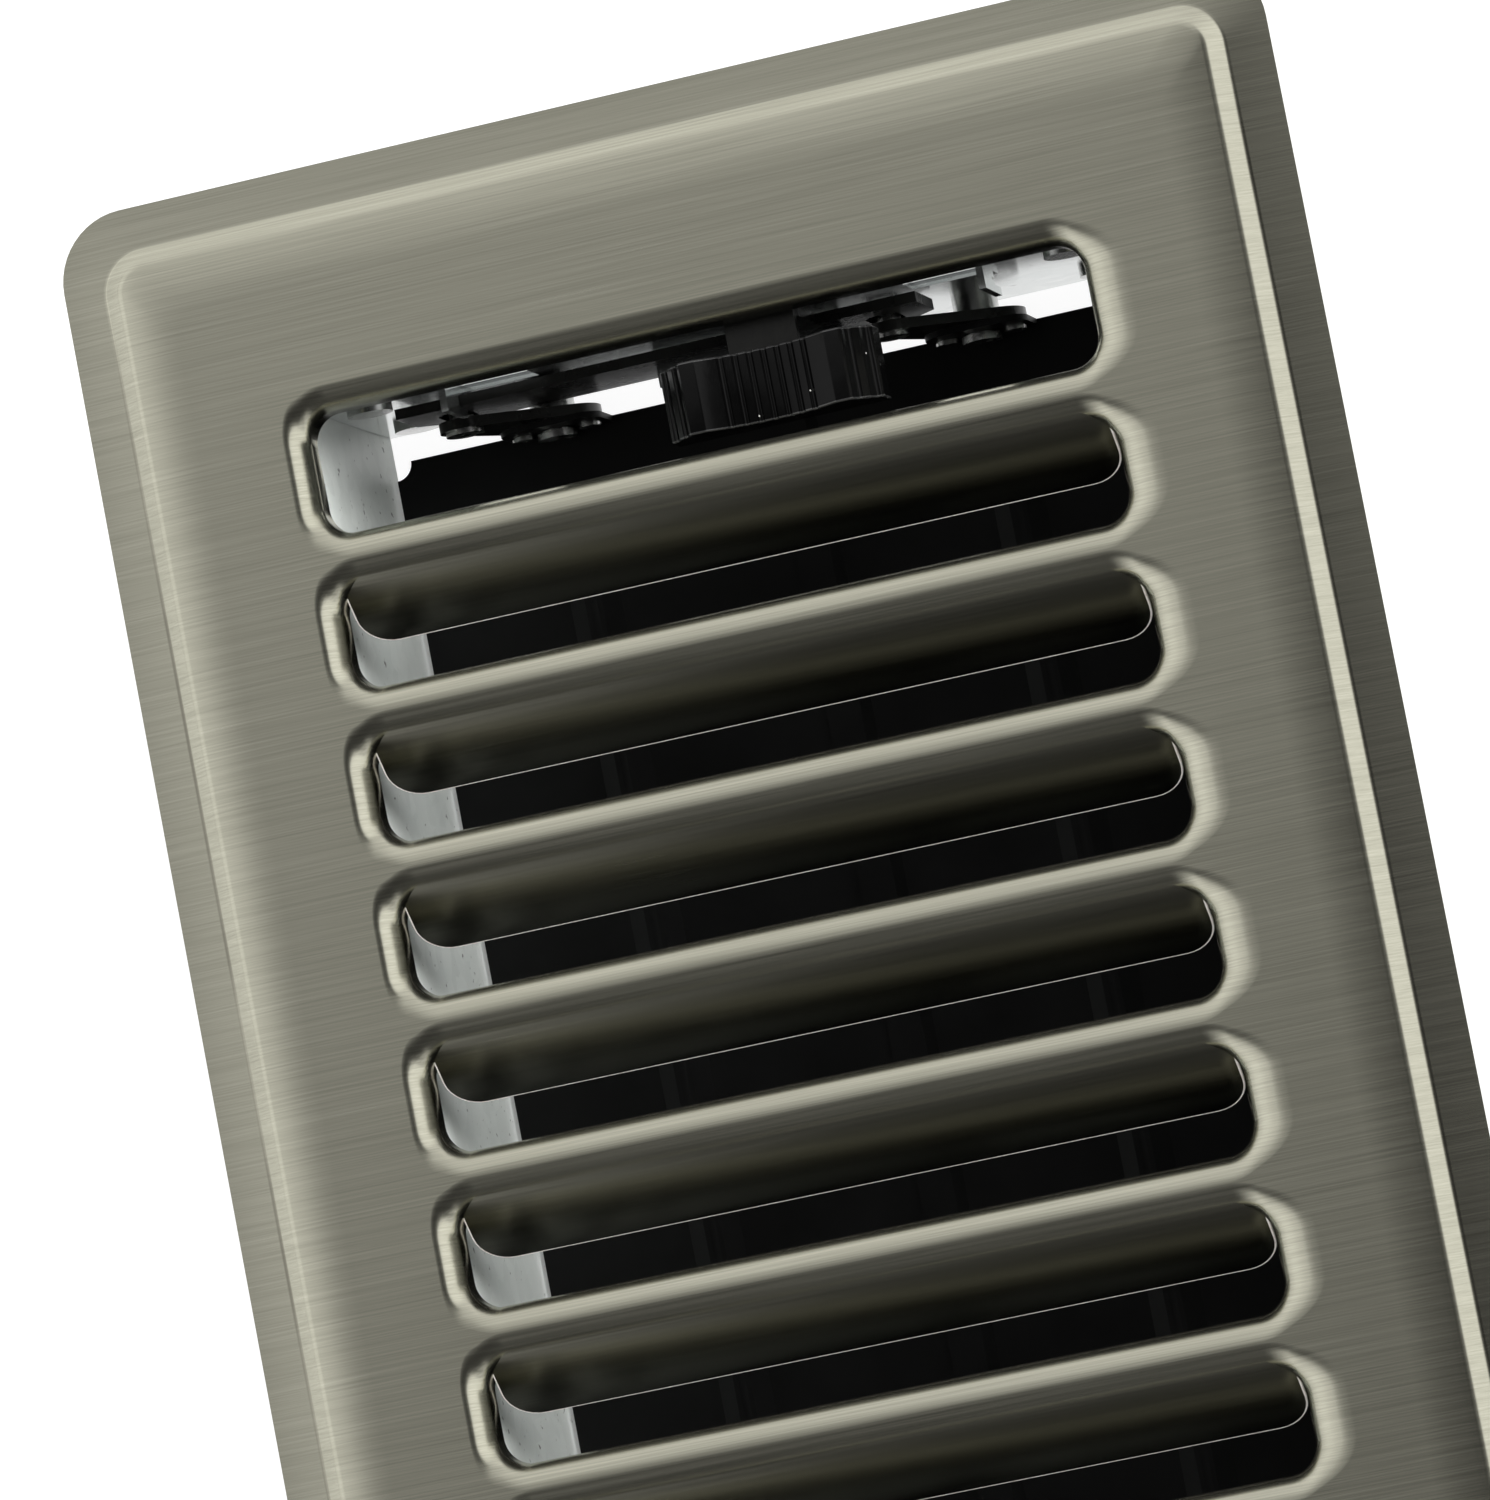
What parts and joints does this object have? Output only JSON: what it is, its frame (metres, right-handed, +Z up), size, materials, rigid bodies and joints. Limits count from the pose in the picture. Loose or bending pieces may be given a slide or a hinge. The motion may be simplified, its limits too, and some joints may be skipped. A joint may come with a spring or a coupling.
{
  "type": "floor register",
  "caption": "Stamped steel louvred floor register with a sloping border, a shallow damper box and twin damper blades opened by a sliding thumb knob.",
  "frame": {"origin": "middle of the damper box's foot, on the surface that the register stands on", "axes": "+Z up out of the face, +X the short way to the right, +Y the long way towards the lever slot"},
  "size_m": [0.1396, 0.2964, 0.0419],
  "materials": {
    "brushed_nickel": "brushed",
    "galvanised": "galvanised",
    "zinc": "bright zinc",
    "black_paint": "satin",
    "black_zinc": "gloss",
    "black_plastic": "satin"
  },
  "bodies": {
    "frame": {"faceplate": "brushed_nickel", "side_panel_left": "galvanised", "side_panel_right": "galvanised", "lever_end_plate": "galvanised", "far_end_plate": "galvanised", "box_rivets": "zinc", "pivot_pin_lever_left": "zinc", "pivot_pin_lever_right": "zinc", "pivot_pin_far_left": "zinc", "pivot_pin_far_right": "zinc"},
    "slide": {"slide_bar": "black_zinc", "thumb_knob": "black_plastic"},
    "left_blade": {"damper_blade_left": "black_paint", "crank_left": "black_zinc", "crank_rivets_left": "zinc", "crank_pin_left": "zinc"},
    "right_blade": {"damper_blade_right": "black_paint", "crank_right": "black_zinc", "crank_rivets_right": "zinc", "crank_pin_right": "zinc"}
  },
  "joints": [
    {"name": "knob_slide", "type": "slide", "parent": "frame", "child": "slide", "axis": [1, 0, 0], "range_m": [0, 0.016]},
    {"name": "left_blade_hinge", "type": "hinge", "parent": "frame", "child": "left_blade", "pos_m": [-0.0253, 0, 0.0056], "axis": [0, 1, 0], "range_deg": [0, 76]},
    {"name": "right_blade_hinge", "type": "hinge", "parent": "frame", "child": "right_blade", "pos_m": [0.0253, 0, 0.0056], "axis": [0, 1, 0], "range_deg": [0, 76]}
  ],
  "couplings": [
    {"joint": "left_blade_hinge", "follows": "knob_slide", "rad_per_m": 82.859},
    {"joint": "right_blade_hinge", "follows": "knob_slide", "rad_per_m": 82.859}
  ]
}
